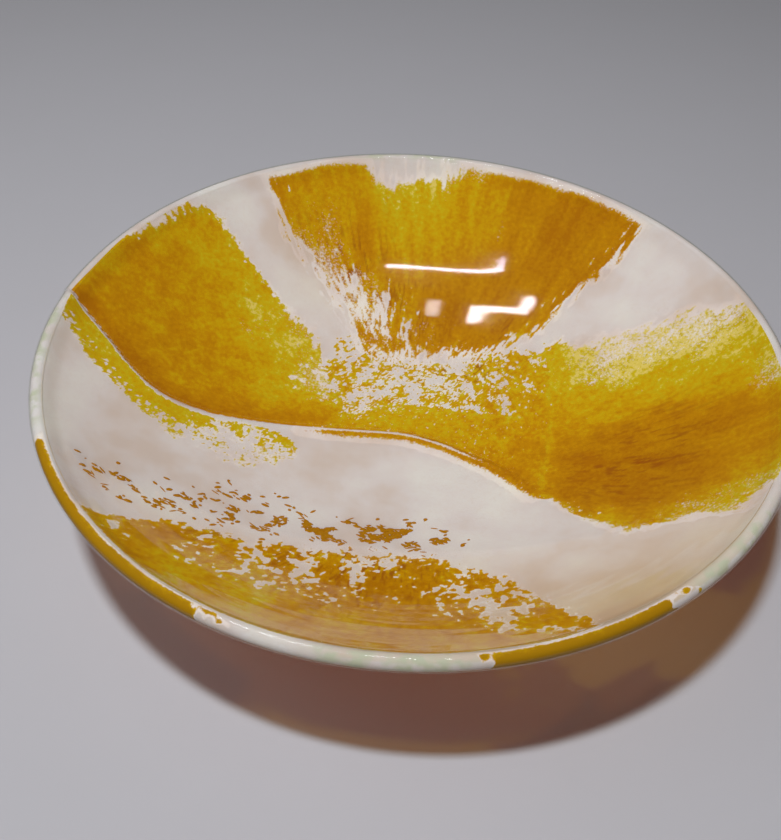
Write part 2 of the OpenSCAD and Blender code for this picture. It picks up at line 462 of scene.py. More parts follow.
def ramp(tree, factor, stops):
    """A colour ramp through (place, sRGB hex) stops."""
    node = add_node(tree, "ShaderNodeValToRGB", links=[("Fac", factor)])
    elements = node.color_ramp.elements
    while len(elements) < len(stops):
        elements.new(0.5)
    for element, (place, hexcode) in zip(elements, stops):
        element.position = place
        element.color = linear(hexcode)
    return node.outputs["Color"]


def grain_noise(tree, millimetres, detail=2.0, roughness=0.5):
    """Noise whose cells are this many millimetres across, on Object coordinates."""
    place = add_node(tree, "ShaderNodeTexCoord").outputs["Object"]
    return add_node(tree, "ShaderNodeTexNoise",
                    {"Scale": 1 / (millimetres * MM), "Detail": detail, "Roughness": roughness},
                    [("Vector", place)]).outputs["Fac"]


def attribute(tree, name):
    return add_node(tree, "ShaderNodeAttribute", attribute_name=name).outputs["Fac"]


def maths(tree, operation, first, second, clamp=False):
    """One sum. Either value can be a number or an output."""
    node = add_node(tree, "ShaderNodeMath", operation=operation, use_clamp=clamp)
    for socket, value in zip(node.inputs, (first, second)):
        if isinstance(value, bpy.types.NodeSocket):
            tree.links.new(value, socket)
        else:
            socket.default_value = value
    return node.outputs["Value"]


def swing(tree, fac, amount):
    """A noise output turned into a swing of half this amount either way."""
    return maths(tree, "MULTIPLY", maths(tree, "SUBTRACT", fac, 0.5), amount)


def blend_colours(tree, factor, first, second, blend_type="MIX"):
    """A mix of two colours, each an output or an sRGB hex."""
    node = add_node(tree, "ShaderNodeMix", data_type="RGBA", blend_type=blend_type)
    for name, value in (("Factor_Float", factor), ("A_Color", first), ("B_Color", second)):
        socket = next(s for s in node.inputs if s.identifier == name)
        if isinstance(value, bpy.types.NodeSocket):
            tree.links.new(value, socket)
        else:
            socket.default_value = linear(value) if isinstance(value, str) else value
    return next(s for s in node.outputs if s.identifier == "Result_Color")


# Share of an opal face's light that comes from behind it
FROM_BEHIND = 0.25
# Colours that lamplight takes on at a face of the opal, and at a face of the frit
OPAL_LAMPLIGHT, FRIT_LAMPLIGHT = "C29A38", "E2BC58"
# Share of light that clear glass mirrors when met head on
HEAD_ON = 0.04


def milky(tree, colour, lamplight, through=FROM_BEHIND):
    """Glass that scatters light: mostly lit from the front, and partly from behind. Lamplight
    that gets through a face of it comes out this colour."""
    front = add_node(tree, "ShaderNodeBsdfPrincipled",
                     {"Roughness": 0.55, "Specular IOR Level": 0.1}, [("Base Color", colour)])
    behind = add_node(tree, "ShaderNodeBsdfTranslucent", links=[("Color", colour)])
    body = add_node(tree, "ShaderNodeMixShader", {"Fac": through},
                    [(1, front.outputs[0]), (2, behind.outputs[0])])
    passed = add_node(tree, "ShaderNodeBsdfTransparent", {"Color": linear(lamplight)})
    lamps = add_node(tree, "ShaderNodeLightPath")
    return add_node(tree, "ShaderNodeMixShader", links=[
        ("Fac", lamps.outputs["Is Shadow Ray"]), (1, body.outputs[0]),
        (2, passed.outputs[0])]).outputs[0]


def clear_glass(glass):
    """Soda-lime glass, blown and fire-polished: a hard, wet shine over whatever lies under it."""
    material, tree = new_material("soda_lime_glass_fire_polished")
    through = add_node(tree, "ShaderNodeBsdfTransparent", {"Color": linear(glass.clear)})
    shine = add_node(tree, "ShaderNodeBsdfGlossy", {"Color": linear("FFFFFF"), "Roughness": 0.055})
    slant = add_node(tree, "ShaderNodeLayerWeight", {"Blend": 0.5}).outputs["Facing"]
    mirrored = maths(tree, "MULTIPLY", maths(tree, "POWER", slant, 5.0), 1 - HEAD_ON)
    mirrored = maths(tree, "ADD", mirrored, HEAD_ON, clamp=True)
    finish_material(tree, add_node(
        tree, "ShaderNodeMixShader",
        links=[("Fac", mirrored), (1, through.outputs[0]), (2, shine.outputs[0])]).outputs[0])
    return material


def fused_face():
    """Clear glass fused to the layer beside it: no air between them, so no shine at all."""
    material, tree = new_material("soda_lime_glass_fused_face")
    finish_material(tree, add_node(tree, "ShaderNodeBsdfTransparent",
                                   {"Color": linear("FFFFFF")}).outputs[0])
    return material


def ground_glass():
    """Soda-lime glass ground flat on a wheel: a fine grey frost with no shine."""
    material, tree = new_material("soda_lime_glass_ground_flat")
    frost = grain_noise(tree, 0.8, 2.0, 0.6)
    colour = ramp(tree, frost, [(0.35, "B9B7B0"), (0.65, "D2D0C9")])
    finish_material(tree, milky(tree, colour, "FFFFFF", 0.2))
    return material


def opal_body(tree, glass):
    """The opal's colour: clouds of thinner and thicker milk, and fine specks of bare glass."""
    clouds = grain_noise(tree, 38, 3.0, 0.55)
    body = ramp(tree, clouds, [(0.34, glass.opal_pink), (0.50, glass.opal), (0.70, glass.opal_milk)])
    specks = ramp(tree, grain_noise(tree, 1.6, 2.0, 0.7), [(0.50, "000000"), (0.70, "FFFFFF")])
    return blend_colours(tree, maths(tree, "MULTIPLY", specks, 0.30), body, glass.opal_pink)


def opal_glass(glass):
    """Opal soda-lime glass, blown thin: a milky white that goes pink where it is thin, with
    fine specks of bare glass, and a greenish cast where it runs clear in the lip."""
    material, tree = new_material("opal_soda_lime_glass_blown")
    body = opal_body(tree, glass)
    body = blend_colours(tree, attribute(tree, "stain"), body, glass.stain)
    bare = ramp(tree, grain_noise(tree, 9, 2.0, 0.6), [(0.42, "000000"), (0.60, "FFFFFF")])
    bare = maths(tree, "MULTIPLY", bare, attribute(tree, "bare"))
    body = blend_colours(tree, bare, body, glass.lip_clear)
    finish_material(tree, milky(tree, body, OPAL_LAMPLIGHT))
    return material


def frit_glass(name, frit, glass, stops):
    """Amber soda-lime frit, melted in: yellow where it is thin, deep amber where it is thick,
    with brown-red streaks of the darkest grains. The opal shows between the grains."""
    material, tree = new_material(name)
    mottle = swing(tree, grain_noise(tree, 2.5, 3.0, 0.6), 0.8)
    depth = maths(tree, "ADD", attribute(tree, "depth"), mottle, clamp=True)
    body = blend_colours(tree, attribute(tree, "burn"), ramp(tree, depth, stops), frit.burnt)
    fine = swing(tree, grain_noise(tree, 1.4, 2.0, 0.6), 1.2)
    cover = maths(tree, "ADD", attribute(tree, "cover"), fine)
    cover = ramp(tree, cover, [(0.30, "000000"), (0.62, "FFFFFF")])
    body = blend_colours(tree, cover, opal_body(tree, glass), body)
    finish_material(tree, milky(tree, body, FRIT_LAMPLIGHT))
    return material


def amber_stops(frit, deepest):
    """Colours of the frit by depth, as far as the one at this place in the list."""
    stops = [(0.0, frit.film), (0.09, frit.thin), (0.30, frit.yellow), (0.56, frit.amber),
             (0.95, frit.deep)]
    return stops[:deepest]


def painted(name, hexcode):
    """Board with matt emulsion on it: flat, with faint roller marks."""
    material, tree = new_material(name)
    marks = grain_noise(tree, 60, 4.0, 0.6)
    colour = blend_colours(tree, maths(tree, "MULTIPLY", marks, 0.08), hexcode, "A49E95")
    finish_material(tree, add_node(tree, "ShaderNodeBsdfPrincipled", {"Roughness": 0.8},
                                   [("Base Color", colour)]).outputs[0])
    return material


# ---------------------------------------------------------------- frit

# Outlines in plan, in parts of the lip's radius. The third number is how ragged the edge is
# near that point, in millimetres.
OUTLINES = {
    "amber_back": (
        (-0.57, 0.93, 8), (-0.25, 1.12, 4), (0.25, 1.12, 4), (0.76, 0.84, 5), (0.74, 0.66, 9),
        (0.64, 0.57, 9), (0.54, 0.51, 8), (0.41, 0.42, 8), (0.28, 0.36, 10), (0.12, 0.34, 12),
        (-0.05, 0.33, 12), (-0.19, 0.36, 12), (-0.29, 0.50, 12), (-0.40, 0.65, 12),
        (-0.49, 0.78, 10)),
    "amber_left": (
        (-1.15, 0.220, 0.3), (-1.02, 0.167, 0.3), (-0.945, 0.132, 0.3), (-0.865, 0.072, 0.3),
        (-0.80, 0.012, 0.3), (-0.72, -0.033, 0.4), (-0.60, -0.038, 0.5), (-0.45, -0.008, 0.8),
        (-0.24, 0.032, 1.5), (-0.20, 0.14, 10), (-0.24, 0.26, 12), (-0.27, 0.38, 11),
        (-0.37, 0.48, 7), (-0.46, 0.54, 7), (-0.55, 0.60, 7), (-0.64, 0.655, 7), (-0.72, 0.645, 6),
        (-0.80, 0.55, 5), (-0.90, 0.42, 4), (-1.00, 0.31, 1)),
    "amber_middle": (
        (-0.34, -0.018, 1), (-0.24, -0.014, 1), (-0.04, -0.002, 1), (0.07, -0.032, 1.5),
        (0.155, -0.078, 2), (0.235, -0.140, 3), (0.34, -0.25, 6), (0.52, -0.18, 3),
        (0.60, 0.0, 3), (0.58, 0.20, 3),
        (0.44, 0.34, 8), (0.30, 0.37, 12), (0.12, 0.35, 14), (-0.06, 0.37, 14), (-0.23, 0.38, 12),
        (-0.28, 0.17, 6), (-0.26, 0.045, 1), (-0.34, 0.02, 1)),
    "amber_right": (
        (0.40, 0.36, 10), (0.58, 0.38, 10), (0.79, 0.34, 10), (0.95, 0.27, 9), (1.14, 0.22, 5),
        (1.14, -0.15, 3), (1.04, -0.46, 5), (0.87, -0.46, 6), (0.77, -0.51, 6), (0.68, -0.47, 6),
        (0.57, -0.47, 6), (0.49, -0.42, 6), (0.42, -0.31, 5), (0.36, -0.20, 3), (0.40, 0.0, 3),
        (0.41, 0.19, 5)),
    "amber_front": (
        (-0.78, -0.66, 6), (-0.66, -0.56, 10), (-0.50, -0.49, 14), (-0.30, -0.47, 16),
        (-0.08, -0.45, 16), (0.11, -0.49, 16), (0.28, -0.60, 16), (0.36, -0.76, 14),
        (0.40, -0.98, 10), (0.10, -1.02, 5), (-0.32, -0.97, 5), (-0.60, -0.84, 5)),
    "yellow_fringe": (
        (-1.00, 0.153, 1), (-0.945, 0.128, 1), (-0.865, 0.068, 1), (-0.80, 0.008, 1.5),
        (-0.72, -0.041, 2), (-0.60, -0.047, 2), (-0.45, -0.020, 3), (-0.37, -0.03, 5),
        (-0.32, -0.08, 8), (-0.42, -0.18, 10), (-0.54, -0.20, 10), (-0.66, -0.16, 8),
        (-0.77, -0.11, 6), (-0.87, -0.04, 5), (-0.95, 0.03, 4), (-1.00, 0.08, 3)),
}

# Grain width and length in millimetres, how far the grains are drawn out towards the middle
# from 0 to 1, the depth in millimetres at which the frit lies closed, and the seed of its noise
GRAINS = {
    "amber_back": (2.8, 10, 1.0, 14, 11),
    "amber_left": (3.4, 3.8, 0.3, 14, 23),
    "amber_middle": (5.5, 3.2, 1.0, 4, 37),
    "amber_right": (3.0, 5.5, 0.8, 13, 41),
    "amber_front": (3.4, 4.2, 0.6, 5, 53),
    "yellow_fringe": (2.2, 2.4, 0.4, 1.5, 67),
}

# Each spot is a place in plan and a radius, both in parts of the lip's radius, and an amount at
# its middle. Lean spots are where the opal shows through, with the amount in millimetres.
LEAN = {
    "amber_back": ((-0.24, 0.60, 0.14, 9), (-0.10, 0.98, 0.09, 20), (0.08, 1.00, 0.10, 20),
                   (-0.06, 0.47, 0.16, 7), (0.26, 0.96, 0.05, 8)),
    "amber_left": ((-0.40, 0.40, 0.16, 6), (-0.33, 0.16, 0.14, 7), (-0.55, 0.30, 0.08, 3)),
    "amber_middle": ((0.08, 0.29, 0.16, 3), (-0.15, 0.2, 0.15, 3)),
    "amber_right": ((0.60, 0.22, 0.16, 4), (0.93, 0.12, 0.10, 5), (0.55, 0.33, 0.12, 4)),
    "amber_front": ((-0.30, -0.50, 0.20, 3), (0.25, -0.68, 0.15, 4)),
    "yellow_fringe": ((-0.50, -0.14, 0.12, 2),),
}

# How deep the colour of each piece is, from 0 to 1, how much it varies, and its spots
TONES = {
    "amber_back": (0.62, 0.30, ((-0.02, 0.95, 0.16, -0.50), (0.0, 0.75, 0.12, -0.30),
                                (0.22, 0.85, 0.12, -0.20), (0.52, 0.72, 0.25, 0.20),
                                (0.12, 0.50, 0.20, 0.10), (-0.36, 0.82, 0.14, -0.15))),
    "amber_left": (0.50, 0.34, ((-0.40, 0.42, 0.18, -0.30), (-0.62, 0.58, 0.14, -0.20),
                                (-0.34, 0.20, 0.14, -0.25), (-0.80, 0.30, 0.16, 0.05))),
    "amber_middle": (0.48, 0.35, ((0.44, -0.08, 0.17, 0.34), (0.10, 0.30, 0.20, -0.10))),
    "amber_right": (0.50, 0.34, ((0.58, -0.20, 0.24, 0.38), (0.85, -0.10, 0.20, 0.12),
                                 (0.62, 0.30, 0.24, -0.45), (0.88, 0.24, 0.22, -0.40),
                                 (0.96, -0.02, 0.10, -0.30), (0.45, -0.42, 0.12, -0.35),
                                 (0.72, -0.50, 0.12, -0.35), (0.90, -0.45, 0.12, -0.25))),
    "amber_front": (0.72, 0.55, ((-0.06, -0.62, 0.22, 0.20), (-0.50, -0.62, 0.20, -0.10),
                                 (0.0, -0.92, 0.30, -0.15), (-0.4, -0.86, 0.25, -0.25))),
    "yellow_fringe": (0.34, 0.25, ()),
}

# Painted shade at the fold: how much deeper the colour is made near its crest, where shade falls in
# the crease, and within how many millimetres of the crest
PAINTED_SHADE_AT_FOLD = {"amber_left": (0.50, 13), "amber_middle": (0.45, 5)}

# Pieces that run into each other, whose edges don't fade where they meet
NEIGHBOURS = {
    "amber_back": (),
    "amber_left": ("amber_middle",),
    "amber_middle": ("amber_left", "amber_right"),
    "amber_right": ("amber_middle",),
    "amber_front": (),
    "yellow_fringe": (),
}

# How much of the opal each piece covers, from 0 to 1: overall, how much that varies, the width
# of its patches in millimetres and their length over that, how far its edge fades in
# millimetres, and its spots
COVER = {
    "amber_back": (1.05, 0.35, 9, 1.8, 7, ((-0.34, 0.62, 0.16, -0.48), (-0.18, 0.48, 0.15, -0.42),
                                           (0.05, 0.38, 0.10, -0.35), (-0.12, 0.98, 0.08, -0.9),
                                           (0.08, 1.02, 0.09, -1.0), (0.20, 0.95, 0.05, -0.4),
                                           (0.62, 0.60, 0.10, -0.25))),
    "amber_left": (1.10, 0.25, 7, 1.2, 4, ((-0.36, 0.43, 0.14, -0.38), (-0.28, 0.22, 0.11, -0.50),
                                           (-0.52, 0.34, 0.07, -0.25))),
    "amber_middle": (0.98, 0.95, 8, 0.36, 2.5, ((-0.06, 0.26, 0.13, -0.22),
                                                (0.14, 0.33, 0.10, -0.15),
                                                (0.42, -0.05, 0.14, 0.35))),
    "amber_right": (1.08, 0.34, 7, 1.6, 6, ((0.58, 0.27, 0.15, -0.48), (0.76, 0.30, 0.15, -0.40),
                                            (0.91, 0.22, 0.12, -0.45), (0.97, -0.03, 0.07, -0.55),
                                            (0.47, -0.42, 0.10, -0.35), (0.70, -0.47, 0.12, -0.45),
                                            (0.88, -0.43, 0.10, -0.40))),
    "amber_front": (0.86, 0.95, 3.0, 1.4, 3, ((-0.04, -0.68, 0.20, 0.25), (0.32, -0.66, 0.12, -0.30),
                                              (-0.06, -0.47, 0.10, -0.2), (-0.30, -0.86, 0.25, 0.6),
                                              (0.10, -0.92, 0.28, 0.6), (-0.55, -0.80, 0.2, 0.4))),
    "yellow_fringe": (1.22, 0.70, 3.5, 1.3, 1, ()),
}

# Over how many millimetres the cover fades at a clean edge
CLEAN_FADE = 0.5
# How much cover the yellow fringe loses, and within what distance of the fold's crest
FRINGE_LOSS, FRINGE_REACH = 0.80, 26 * MM
# How much more a neighbour's depth counts than a piece's own, so that no seam shows between them
NEIGHBOUR_WEIGHT = 3

# Where brown-red streaks mark each piece
BURN = {
    "amber_back": ((-0.24, 0.62, 0.16, 0.8), (0.0, 0.50, 0.14, 0.5), (0.30, 0.44, 0.10, 0.5)),
    "amber_left": ((-0.45, 0.06, 0.12, 0.2),),
    "amber_middle": ((0.20, 0.36, 0.12, 0.9), (0.05, 0.36, 0.10, 0.6)),
    "amber_right": ((0.58, -0.20, 0.16, 0.65), (0.72, -0.10, 0.14, 0.4)),
    "amber_front": ((-0.10, -0.45, 0.20, 0.8), (-0.42, -0.42, 0.16, 0.7), (-0.1, -0.62, 0.2, 0.4)),
    "yellow_fringe": (),
}

# Where a film of amber stains the opal
STAINS = ((0.52, -0.76, 0.20, 0.40), (0.72, -0.60, 0.14, 0.20), (-0.55, -0.80, 0.16, 0.45),
          (-0.30, 0.62, 0.14, 0.15), (0.10, -0.90, 0.30, 0.30))


def spots(x, y, places):
    """The sum of soft round spots at plan points."""
    total = np.zeros(np.shape(x))
    for middle_x, middle_y, radius, amount in places:
        apart = (x / RIM_R - middle_x) ** 2 + (y / RIM_R - middle_y) ** 2
        total += amount * np.exp(-apart / radius ** 2)
    return total


def from_outline(name, x, y):
    """Distance of plan points from a piece's outline, and how ragged it is there. The third
    value is the outline itself."""
    outline = spline(OUTLINES[name], 5, closed=True) * np.array([RIM_R, RIM_R, MM])
    gap, _, _, ragged = nearest(x, y, outline, closed=True)
    return gap, ragged[..., 0], outline


# Raggedness from which grains come fully loose
RAGGED = 3 * MM
# Loose grains outside an edge and holes inside it: the noise from which there are any, the
# depth for one unit of noise more, and how fast they thin out away from the edge
LOOSE_FROM, LOOSE_DEEP, LOOSE_THINS = 0.34, 7 * MM, 0.16
HOLES_FROM, HOLES_DEEP, HOLES_THIN = 0.50, 9 * MM, 0.45


def is_loose(ragged):
    """From 0 where the frit's edge is clean to 1 where grains come loose from it."""
    return smooth(ragged / RAGGED)


def frit_field(name, x, y):
    """How deep the frit lies at plan points, in metres. It is above zero where there is any."""
    gap, ragged, outline = from_outline(name, x, y)
    depth = np.where(inside(x, y, outline), gap, -gap)
    width, length, drawn, full, seed = GRAINS[name]

    def grain(share, number):
        return grains(x, y, share * width * MM, share * length * MM, seed + number, drawn)

    lean = spots(x, y, LEAN[name]) * MM
    rough = np.maximum(ragged, lean)
    mixed = 0.5 * grain(1, 0) + 0.35 * grain(0.5, 1) + 0.5 * grain(4, 2)
    body = np.minimum(depth, full * MM) - lean + rough * mixed
    loose = is_loose(rough)
    spray = grain(0.65, 3)
    loose_grains = (spray - LOOSE_FROM) * LOOSE_DEEP + np.minimum(depth, 0) * LOOSE_THINS
    edge_holes = (HOLES_FROM - spray) * HOLES_DEEP + np.maximum(depth, 0) * HOLES_THIN
    body = np.maximum(body, loose_grains * loose - (1 - loose) * MM)
    return np.minimum(body, edge_holes + (1 - loose) * HOLES_DEEP)


def tone_field(name, x, y):
    """Colour depth of the frit at plan points."""
    base, varies, places = TONES[name]
    width, length, drawn, _, seed = GRAINS[name]

    def grain(share, stretch, number):
        return grains(x, y, share * width * MM, share * stretch * length * MM, seed + number, drawn)

    streaks = 0.5 * grain(1.6, 1.5, 4) + 0.6 * grain(5, 1, 5) + 0.35 * grain(0.7, 1, 6)
    tone = base + spots(x, y, places) + varies * streaks
    # Painted shade: the colour goes deeper near the fold's crest and stands in for the shade in the
    # crease
    if name in PAINTED_SHADE_AT_FOLD:
        darker, width = PAINTED_SHADE_AT_FOLD[name]
        tone = tone + darker * np.exp(-(from_fold(x, y)[0] / (width * MM)) ** 2)
    return tone


def cover_field(name, x, y, depth):
    """How much of the opal the frit covers at plan points. It fades at ragged edges only, and
    not where another piece goes on from it."""
    if NEIGHBOURS[name]:
        depth = np.maximum(depth, frit_field(name, x, y))
        for other in NEIGHBOURS[name]:
            depth = np.maximum(depth, NEIGHBOUR_WEIGHT * frit_field(other, x, y))
    base, varies, patch, stretch, fade, places = COVER[name]
    width, length = patch * MM, stretch * patch * MM
    drawn, seed = GRAINS[name][2], GRAINS[name][4]
    patches = 0.55 * grains(x, y, width, length, seed + 20, drawn)
    patches = patches + 0.55 * grains(x, y, 0.5 * width, 0.6 * length, seed + 21, drawn)
    cover = base + spots(x, y, places) + varies * patches
    front = from_fold(x, y)[0]
    if name == "yellow_fringe":
        cover = cover - FRINGE_LOSS * smooth(front / FRINGE_REACH)
    if name == "amber_middle":
        cover = thin_at_crest(x, front, cover, patches)
    loose = is_loose(from_outline(name, x, y)[1])
    return cover * smooth(depth / (MM * (CLEAN_FADE + (fade - CLEAN_FADE) * loose)))


def thin_at_crest(x, front, cover, patches):
    """Cover of frit that runs over the fold: gone along the crest, which leaves a pale line of bare
    opal that is partly a painted highlight on the crest's rounded edge, and soon gone in front.
    """
    strip = smooth((front + 1 * MM) / MM)
    worn = 0.95 - smooth((front - 1.5 * MM) / (6 * MM)) + 0.3 * patches
    worn = worn * smooth((x / RIM_R + 0.34) / 0.12)
    # Painted highlight: the frit is taken off along the crest so that a pale line shows on its
    # rounded edge
    crest = np.exp(-(front / MM) ** 2) * (1 - smooth((x / RIM_R - 0.10) / 0.20))
    return cover * (1 - strip) + worn * strip - crest


def inside(x, y, outline):
    """Which plan points lie inside a closed outline."""
    found = np.zeros(x.shape, bool)
    for p, q in zip(outline, np.roll(outline, -1, axis=0)):
        spans = (p[1] > y) != (q[1] > y)
        rise = q[1] - p[1] if abs(q[1] - p[1]) > 1e-12 else 1e-12
        found ^= spans & (x < (q[0] - p[0]) * (y - p[1]) / rise + p[0])
    return found


class OpalFace:
    """The opal's face as one sheet: distance along its section from the middle of the bowl,
    over the lip and on down the outside."""

    def __init__(self, curve, wall):
        self.section = opal_section(curve, wall)
        steps = np.linalg.norm(np.diff(self.section, axis=0), axis=1)
        self.run = np.concatenate([[0], np.cumsum(steps)])
        tangent = np.gradient(self.section, axis=0)
        tangent /= np.linalg.norm(tangent, axis=1)[:, None]
        self.normal = np.stack([-tangent[:, 1], tangent[:, 0]], axis=1)
        self.top = self.run[np.argmax(self.section[:, 1])]
        self.lip_reach = np.interp(self.top, self.run, self.section[:, 0])

    def reach(self, run):
        """Plan reach of a place on the sheet. It goes on growing over the lip."""
        plain = np.interp(run, self.run, self.section[:, 0])
        return np.where(run < self.top, plain, self.lip_reach + 1.3 * (run - self.top))

    def place(self, run, turn, lift):
        """Points on the sheet, lifted off the opal by lift."""
        r = np.interp(run, self.run, self.section[:, 0]) + lift * np.interp(
            run, self.run, self.normal[:, 0])
        z = np.interp(run, self.run, self.section[:, 1]) + lift * np.interp(
            run, self.run, self.normal[:, 1])
        return np.stack([r * np.cos(turn), r * np.sin(turn), z], axis=-1)


def cut_grid(field):
    """Cuts a square grid of values along zero. Returns places in grid units, the values there,
    how many of the places are whole grid points, and triangles."""
    rows, cols = field.shape
    index = np.arange(rows * cols).reshape(rows, cols)
    a, b, c, d = index[:-1, :-1], index[1:, :-1], index[1:, 1:], index[:-1, 1:]
    triangles = np.concatenate([np.stack([a, b, c], -1).reshape(-1, 3),
                                np.stack([a, c, d], -1).reshape(-1, 3)])
    value = field.ravel()
    solid = value > 0
    count = solid[triangles].sum(1)
    whole = triangles[count == 3]
    parts, cuts = [whole], []
    for wanted in (1, 2):
        some = triangles[count == wanted]
        odd = solid[some] if wanted == 1 else ~solid[some]
        lead = odd.argmax(1)
        order = (lead[:, None] + np.arange(3)) % 3
        cuts.append((wanted, np.take_along_axis(some, order, 1)))
    ends = np.concatenate([np.concatenate([t[:, [0, 1]], t[:, [0, 2]]]) for _, t in cuts])
    low, high = ends.min(1), ends.max(1)
    keys, inverse = np.unique(low.astype(np.int64) * (rows * cols) + high, return_inverse=True)
    low, high = keys // (rows * cols), keys % (rows * cols)
    share = np.clip(value[low] / (value[low] - value[high]), 0.04, 0.96)
    places = np.stack([index.ravel() // cols, index.ravel() % cols], 1).astype(float)
    cut_places = places[low] + share[:, None] * (places[high] - places[low])
    first = rows * cols
    at = 0
    for wanted, t in cuts:
        one = first + inverse[at:at + len(t)]
        two = first + inverse[at + len(t):at + 2 * len(t)]
        at += 2 * len(t)
        if wanted == 1:
            parts.append(np.stack([t[:, 0], one, two], 1))
        else:
            parts.append(np.stack([one, t[:, 1], t[:, 2]], 1))
            parts.append(np.stack([one, t[:, 2], two], 1))
    faces = np.concatenate(parts)
    used = np.zeros(first + len(cut_places), bool)
    used[faces.ravel()] = True
    kept = np.flatnonzero(used)
    renumber = np.full(len(used), -1)
    renumber[kept] = np.arange(len(kept))
    all_places = np.concatenate([places, cut_places])[kept]
    values = np.concatenate([value, np.zeros(len(cut_places))])[kept]
    return all_places, values, int((kept < first).sum()), renumber[faces]


def crease_rim(piece, first, last):
    """Makes the edges between points first to last sharp, so that a grain's top stays smooth."""
    ends = np.empty(2 * len(piece.data.edges), np.int32)
    piece.data.edges.foreach_get("vertices", ends)
    on_rim = ((ends >= first) & (ends < last)).reshape(-1, 2).all(1)
    sharp = piece.data.attributes.new("sharp_edge", "BOOLEAN", "EDGE")
    sharp.data.foreach_set("value", on_rim)


# Clear glass between the opal and the edge of a grain
GRAIN_GAP = 0.03 * MM
# Distance from a grain's edge at which it is at its thickest
GRAIN_EDGE = 1.5 * MM


def frit_piece(name, material, face, field, tone, cover, burn):
    """Makes a layer of melted grains on the opal: a closed lens for each grain. field, tone and
    cover give its depth, its colour and how far it covers the opal at plan points."""
    wall, fold, frit, _, curve = settings()
    span = math.ceil(face.run[-1] / 2 / frit.grid) + 2
    axis = np.arange(-span, span + 1) * frit.grid
    gx, gy = np.meshgrid(axis, axis, indexing="ij")
    run = np.hypot(gx, gy)
    turn = np.arctan2(gy, gx)
    reach = face.reach(run)
    x, y = reach * np.cos(turn), reach * np.sin(turn)
    values = field(x, y, run)
    values[[0, -1], :] = -1
    values[:, [0, -1]] = -1
    places, depth, whole, faces = cut_grid(values)
    flat = places * frit.grid - span * frit.grid
    run, turn = np.hypot(flat[:, 0], flat[:, 1]), np.arctan2(flat[:, 1], flat[:, 0])
    domed = smooth(depth / GRAIN_EDGE)
    top = face.place(run, turn, GRAIN_GAP + frit.proud * domed)
    under = face.place(run[:whole], turn[:whole], -frit.thick * (0.25 + 0.75 * domed[:whole]))
    points = shaped(np.concatenate([top, under]), wall, fold, curve)
    down = faces[:, ::-1].copy()
    down[down < whole] += len(top)
    all_faces = np.concatenate([faces, down])
    a, b, c = (points[all_faces[:, k]] for k in range(3))
    if np.einsum("ij,ij->", a, np.cross(b, c)) < 0:
        all_faces = all_faces[:, ::-1]
    piece = new_piece(name, points, all_faces, [material])
    crease_rim(piece, whole, len(top))
    reach = face.reach(run)
    x, y = reach * np.cos(turn), reach * np.sin(turn)
    covered = np.clip(cover(x, y, depth), -0.3, 1.3)
    tint = np.clip(tone(x, y), 0, 1) * (0.55 + 0.45 * smooth(depth / frit.full))
    tint = tint * (0.35 + 0.65 * np.clip(covered, 0, 1))
    burnt = grains(x, y, 1.5 * MM, 7 * MM, 91) * 0.8 + grains(x, y, 9 * MM, 16 * MM, 92) * 0.5
    burnt = np.clip(spots(x, y, burn), 0, 1) * smooth((burnt - 0.10) / 0.4) * domed
    for value, each in (("depth", tint), ("burn", burnt), ("cover", covered)):
        give(piece, value, np.concatenate([each, each[:whole]]))
    return piece


# ---------------------------------------------------------------- operators

# Stretches of the lip where the glass is bare of milk: the middle and half the width of each,
# in degrees round the bowl
BARE_LIP = ((187, 17), (268, 12), (92, 14), (318, 12))
# Parts of the lip's radius from which, and over which, bare glass shows, and the degrees over
# which each stretch fades
BARE_FROM, BARE_EASE, BARE_FADE = 0.955, 0.03, 5


class BOWL_OT_opal_core(bpy.types.Operator):
    """Makes the opal core, which swells into the lip"""

    bl_idname = "bowl.opal_core"
    bl_label = "Opal core"

    def execute(self, context):
        wall, fold, _, glass, curve = settings()
        points, groups = turned(opal_section(curve, wall))
        x, y = points[:, 0], points[:, 1]
        turn = np.degrees(np.arctan2(y, x)) % 360
        reach = np.hypot(x, y) / RIM_R
        outside = np.linalg.norm(points - [0, 0, curve.centre], axis=1) > curve.mid
        deepest = np.stack([frit_field(name, x, y) for name in INNER_FRIT]).max(0)
        behind = smooth(deepest / (10 * MM))
        haze = 0.05 * np.exp(np.minimum(deepest, 0) / (6 * MM))
        run_in = np.clip(haze + spots(x, y, STAINS), 0, 1)
        piece = new_piece("opal_core_glass", shaped(points, wall, fold, curve, outside), groups,
                          [opal_glass(glass)])
        give(piece, "stain", np.where(outside, 0.25 * behind, run_in))
        lip = smooth((reach - BARE_FROM) / BARE_EASE)
        bare = sum(smooth((width - np.abs((turn - middle + 180) % 360 - 180)) / BARE_FADE)
                   for middle, width in BARE_LIP)
        give(piece, "bare", np.clip(lip * bare, 0, 1))
        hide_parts("opal_core")
        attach(piece, "root")
        return {"FINISHED"}


# How far the middle pickup runs on under the pieces beside it
OVERLAP = 1.2 * MM
# How far below the lip's top the inner pickups stop. The pale band of bare opal that this leaves
# round the lip is partly where the lip is clear of frit and partly a painted highlight along its
# rounded top
BELOW_LIP = 2 * MM


def inner_field(name, last, x, y, run):
    """Depth of an inner pickup's frit, which stops this far along the opal's face."""
    wander = 1.5 * MM * grains(x, y, 16 * MM, 16 * MM, 77)
    depth = np.minimum(frit_field(name, x, y), last + wander - run)
    if name == "amber_middle":
        for other in NEIGHBOURS[name] + ("amber_back",):
            depth = np.minimum(depth, OVERLAP - frit_field(other, x, y))
    return depth


